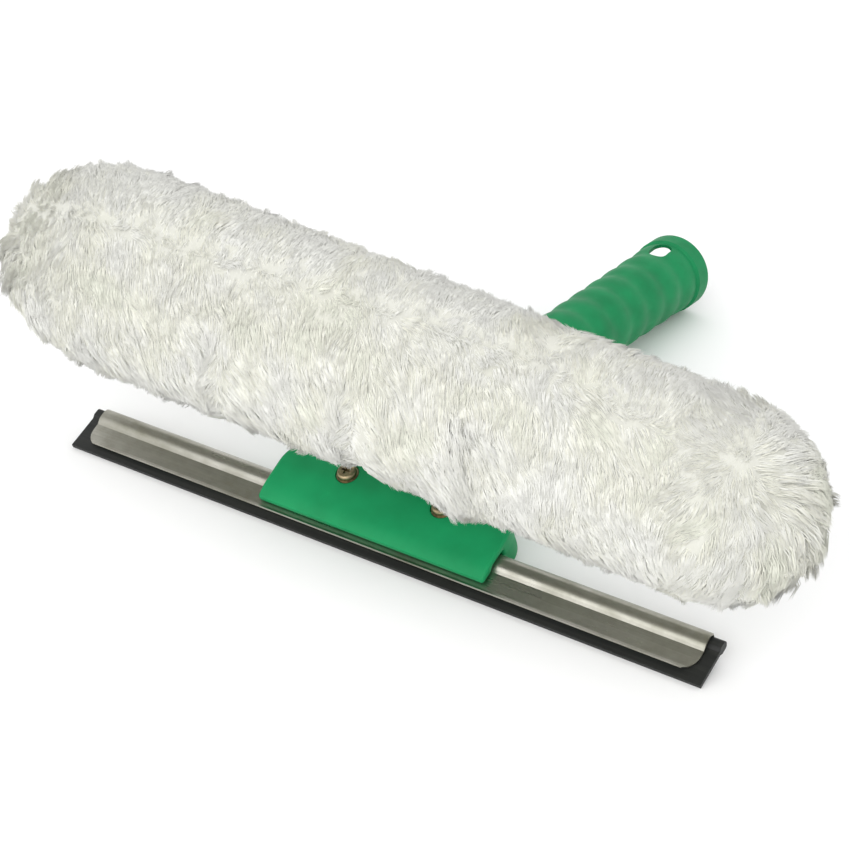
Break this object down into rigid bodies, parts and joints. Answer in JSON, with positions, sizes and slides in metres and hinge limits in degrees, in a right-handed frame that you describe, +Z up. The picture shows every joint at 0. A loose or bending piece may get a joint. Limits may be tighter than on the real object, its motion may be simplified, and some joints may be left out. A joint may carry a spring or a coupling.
{
  "type": "window cleaning squeegee",
  "caption": "Two-headed window tool: a rubber wiping blade in a steel channel clamped by a fan-shaped jaw, and a fleece washing sleeve on a cross bar, on one round ribbed handle.",
  "frame": {"origin": "middle of the object's box, on the surface that the rubber's edge and the handle's end stand on", "axes": "+X along the blade and the sleeve, +Y from the blade towards the handle's mouth, +Z up"},
  "size_m": [0.444, 0.3358, 0.1431],
  "materials": {
    "green_plastic": "fine moulded grain",
    "green_grip": "soft satin moulding",
    "stainless_sheet": "brushed, used",
    "black_rubber": "matt, dusty",
    "brass_screw": "dull plated",
    "zinc_fastener": "zinc plated",
    "backing_cloth": "knitted backing",
    "binding_tape": "woven tape",
    "closure_tape": "hook and loop",
    "white_pile": "long tufted pile"
  },
  "bodies": {
    "handle": {"handle_core": "green_plastic", "grip_sleeve": "green_grip", "jaw_pad": "black_rubber", "nut_left": "zinc_fastener", "nut_right": "zinc_fastener", "tbar": "green_plastic", "tbar_neck": "green_plastic", "neck_pin": "zinc_fastener", "tbar_bolts": "zinc_fastener", "tbar_washers": "zinc_fastener", "tbar_nuts": "zinc_fastener", "tbar_endcap_left": "green_plastic", "tbar_endcap_right": "green_plastic", "sleeve_backing": "backing_cloth", "sleeve_pile": "white_pile", "slit_binding": "binding_tape", "closure_loop_tape": "closure_tape", "closure_hook_tape": "closure_tape"},
    "clamp_plate": {"clamp_plate": "green_plastic", "washer_left": "brass_screw", "washer_right": "brass_screw"},
    "clamp_screw_left": {"clamp_screw_left": "brass_screw"},
    "clamp_screw_right": {"clamp_screw_right": "brass_screw"},
    "channel": {"channel": "stainless_sheet"},
    "rubber_blade": {"rubber_blade": "black_rubber"}
  },
  "joints": [
    {"name": "clamp_plate_lift", "type": "slide", "parent": "handle", "child": "clamp_plate", "axis": [0, -0.3827, 0.9239], "range_m": [0, 0.0016]},
    {"name": "clamp_screw_left_turn", "type": "hinge", "parent": "clamp_plate", "child": "clamp_screw_left", "pos_m": [-0.027, -0.11081, 0.02133], "axis": [0, -0.3827, 0.9239], "range_deg": [0, 720.1]},
    {"name": "clamp_screw_right_turn", "type": "hinge", "parent": "clamp_plate", "child": "clamp_screw_right", "pos_m": [0.027, -0.11081, 0.02133], "axis": [0, -0.3827, 0.9239], "range_deg": [0, 720.1]},
    {"name": "channel_slide", "type": "slide", "parent": "handle", "child": "channel", "axis": [1, 0, 0], "range_m": [-0.236, 0.236]},
    {"name": "rubber_slide", "type": "slide", "parent": "channel", "child": "rubber_blade", "axis": [1, 0, 0], "range_m": [0, 0.35]}
  ],
  "couplings": [
    {"joint": "clamp_screw_left_turn", "follows": "clamp_plate_lift", "rad_per_m": 7854},
    {"joint": "clamp_screw_right_turn", "follows": "clamp_plate_lift", "rad_per_m": 7854}
  ]
}
